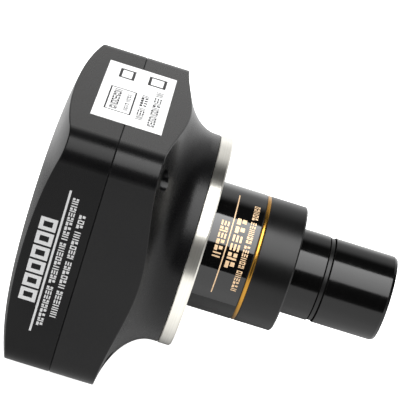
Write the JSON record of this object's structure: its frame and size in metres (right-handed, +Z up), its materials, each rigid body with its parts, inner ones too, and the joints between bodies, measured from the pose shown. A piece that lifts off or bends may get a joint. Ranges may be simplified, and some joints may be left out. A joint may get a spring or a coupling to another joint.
{
  "type": "microscope camera",
  "caption": "Digital microscope camera: square two-shell metal body with a flared neck, bare mount ring and a screwed-in adapter that ends in an eyepiece tube.",
  "frame": {"origin": "centre of the step where the eyepiece tube leaves the adapter, on the optical axis", "axes": "+X along the optical axis, out of the nose; +Z up, normal to the side face with the sticker; +Y across, normal to the side face with the USB socket"},
  "size_m": [0.0966, 0.068, 0.0681],
  "materials": {
    "black_body": "black anodised, fine satin",
    "bare_ring": "turned aluminium",
    "black_adapter": "black anodised, satin",
    "black_tube": "black anodised, glossy",
    "gold_band": "polished brass",
    "steel_screws": "blackened steel",
    "steel_hardware": "plated steel",
    "brass_hardware": "plated brass",
    "seal_rubber": "matt",
    "window_coated": "coated glass",
    "lens_glass": "coated glass",
    "board_green": "solder mask",
    "chip_black": "moulded",
    "connector_black": "moulded",
    "usb_white": "moulded",
    "contact_gold": "gold plated",
    "ceramic_package": "matt",
    "silicon": "polished silicon",
    "thermal_gum": "soft",
    "sticker_film": "satin label film",
    "wrap_film": "glossy label film"
  },
  "bodies": {
    "camera_body": {"front_housing": "black_body", "rear_housing": "black_body", "housing_seal": "seal_rubber", "housing_screws": "steel_screws", "mount_ring": "bare_ring", "mount_ring_screws": "steel_hardware", "window_seal": "seal_rubber", "window_glass": "window_coated", "window_retainer": "black_adapter", "sensor_board": "board_green", "sensor_package": "ceramic_package", "sensor_die": "silicon", "sensor_cover_glass": "window_coated", "board_standoffs": "brass_hardware", "board_screws": "steel_hardware", "board_header": "connector_black", "board_socket_strip": "connector_black", "header_pins": "contact_gold", "main_board": "board_green", "image_processor": "chip_black", "thermal_pad": "thermal_gum", "memory_chip": "chip_black", "usb_controller": "chip_black", "usb_shell": "steel_hardware", "usb_insulator": "usb_white", "usb_contacts": "contact_gold", "serial_sticker": "sticker_film"},
    "washer": {"adapter_washer": "steel_hardware"},
    "adapter": {"adapter_barrel": "black_adapter", "wrap_label": "wrap_film", "gold_ring": "gold_band", "adapter_collar": "black_adapter", "eyepiece_tube": "black_tube", "rear_flint_lens": "lens_glass", "rear_crown_lens": "lens_glass", "lens_spacer": "black_adapter", "front_flint_lens": "lens_glass", "front_crown_lens": "lens_glass", "lens_retainer": "black_adapter"}
  },
  "joints": [
    {"name": "adapter_travel", "type": "slide", "parent": "camera_body", "child": "washer", "axis": [1, 0, 0], "range_m": [0, 0.004]},
    {"name": "adapter_turn", "type": "hinge", "parent": "washer", "child": "adapter", "pos_m": [0, 0, 0], "axis": [1, 0, 0], "range_deg": [0, 1800]}
  ],
  "couplings": [
    {"joint": "adapter_travel", "follows": "adapter_turn", "m_per_rad": 0.00012633}
  ]
}
